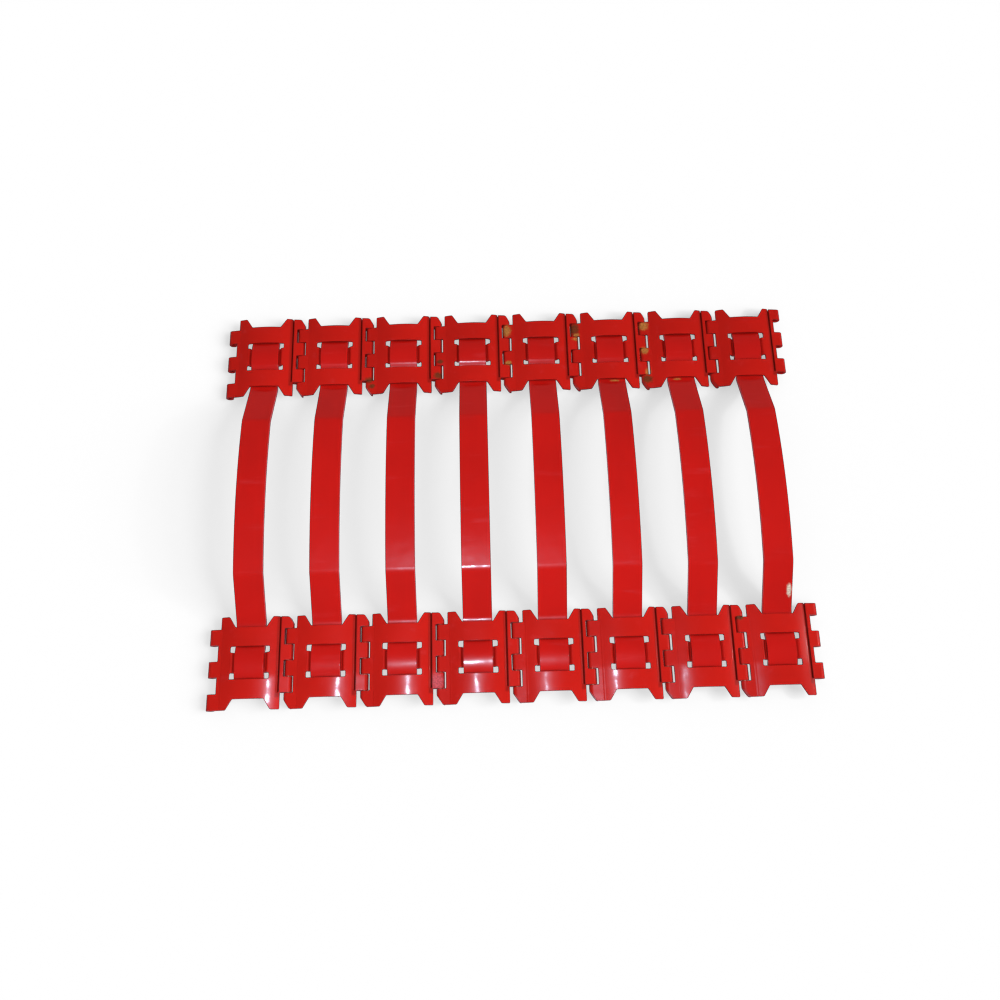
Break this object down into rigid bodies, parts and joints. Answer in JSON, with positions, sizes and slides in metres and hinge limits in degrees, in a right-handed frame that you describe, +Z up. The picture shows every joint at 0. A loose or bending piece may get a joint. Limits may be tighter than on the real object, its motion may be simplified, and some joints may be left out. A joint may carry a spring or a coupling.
{
  "type": "casing centralizer",
  "caption": "Hinged bow-spring casing centralizer laid out flat: rows of arched sheet-metal collar plates on plain pins, with flat bow springs woven between them.",
  "frame": {"origin": "centre of the laid-out rows, on the surface that the knuckles lie on", "axes": "+X along the rows of plates, +Y along the pipe, +Z up, away from the pipe, through the top of the bows"},
  "size_m": [0.804, 0.557, 0.0558],
  "materials": {
    "collar_paint": "gloss red paint on sheet steel",
    "spring_paint": "gloss red paint on spring steel",
    "pin_steel": "plain drawn steel with a little rust"
  },
  "bodies": {
    "segment_1": {"upper_collar_1": "collar_paint", "lower_collar_1": "collar_paint", "bow_spring_1": "spring_paint", "upper_pin_1": "pin_steel", "lower_pin_1": "pin_steel"},
    "segment_2": {"upper_collar_2": "collar_paint", "lower_collar_2": "collar_paint", "bow_spring_2": "spring_paint", "upper_pin_2": "pin_steel", "lower_pin_2": "pin_steel"},
    "segment_3": {"upper_collar_3": "collar_paint", "lower_collar_3": "collar_paint", "bow_spring_3": "spring_paint", "upper_pin_3": "pin_steel", "lower_pin_3": "pin_steel"},
    "segment_4": {"upper_collar_4": "collar_paint", "lower_collar_4": "collar_paint", "bow_spring_4": "spring_paint", "upper_pin_4": "pin_steel", "lower_pin_4": "pin_steel"},
    "segment_5": {"upper_collar_5": "collar_paint", "lower_collar_5": "collar_paint", "bow_spring_5": "spring_paint", "upper_pin_5": "pin_steel", "lower_pin_5": "pin_steel"},
    "segment_6": {"upper_collar_6": "collar_paint", "lower_collar_6": "collar_paint", "bow_spring_6": "spring_paint", "upper_pin_6": "pin_steel", "lower_pin_6": "pin_steel"},
    "segment_7": {"upper_collar_7": "collar_paint", "lower_collar_7": "collar_paint", "bow_spring_7": "spring_paint", "upper_pin_7": "pin_steel", "lower_pin_7": "pin_steel"},
    "segment_8": {"upper_collar_8": "collar_paint", "lower_collar_8": "collar_paint", "bow_spring_8": "spring_paint"}
  },
  "joints": [
    {"name": "hinge_1", "type": "hinge", "parent": "segment_2", "child": "segment_1", "pos_m": [-0.29769, 0, 0.0051], "axis": [0, -1, 0], "range_deg": [-20, 45]},
    {"name": "hinge_2", "type": "hinge", "parent": "segment_3", "child": "segment_2", "pos_m": [-0.19846, 0, 0.0051], "axis": [0, -1, 0], "range_deg": [-20, 45]},
    {"name": "hinge_3", "type": "hinge", "parent": "segment_4", "child": "segment_3", "pos_m": [-0.09923, 0, 0.0051], "axis": [0, -1, 0], "range_deg": [-20, 45]},
    {"name": "hinge_4", "type": "hinge", "parent": "segment_4", "child": "segment_5", "pos_m": [0, 0, 0.0051], "axis": [0, 1, 0], "range_deg": [-20, 45]},
    {"name": "hinge_5", "type": "hinge", "parent": "segment_5", "child": "segment_6", "pos_m": [0.09923, 0, 0.0051], "axis": [0, 1, 0], "range_deg": [-20, 45]},
    {"name": "hinge_6", "type": "hinge", "parent": "segment_6", "child": "segment_7", "pos_m": [0.19846, 0, 0.0051], "axis": [0, 1, 0], "range_deg": [-20, 45]},
    {"name": "hinge_7", "type": "hinge", "parent": "segment_7", "child": "segment_8", "pos_m": [0.29769, 0, 0.0051], "axis": [0, 1, 0], "range_deg": [-20, 45]}
  ]
}
